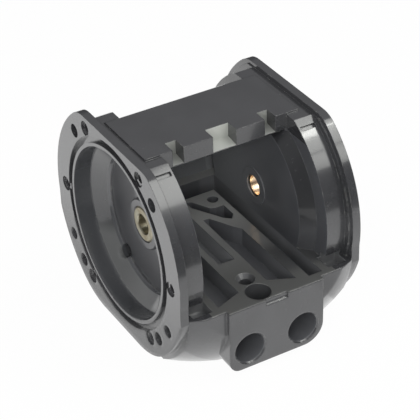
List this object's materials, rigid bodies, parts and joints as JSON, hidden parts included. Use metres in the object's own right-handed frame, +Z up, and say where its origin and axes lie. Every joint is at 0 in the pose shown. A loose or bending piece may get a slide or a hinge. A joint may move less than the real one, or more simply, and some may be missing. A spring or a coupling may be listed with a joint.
{
  "type": "milking pulsator body",
  "caption": "Barrel-shaped black plastic body of a pneumatic milking pulsator: flanged diaphragm chambers at both ends, brass rod bushes, open valve chamber and hose ports.",
  "frame": {"origin": "on the rod axis, half way between the two flange faces", "axes": "+X along the rod from the front flange to the rear flange, -Y out of the valve window towards the hose ports, +Z up to the top plate"},
  "size_m": [0.0724, 0.0954, 0.0783],
  "materials": {
    "black_plastic": "semi-gloss moulded",
    "brass": "machined"
  },
  "bodies": {
    "root": {"housing": "black_plastic", "front_bush": "brass", "rear_bush": "brass"}
  },
  "joints": []
}
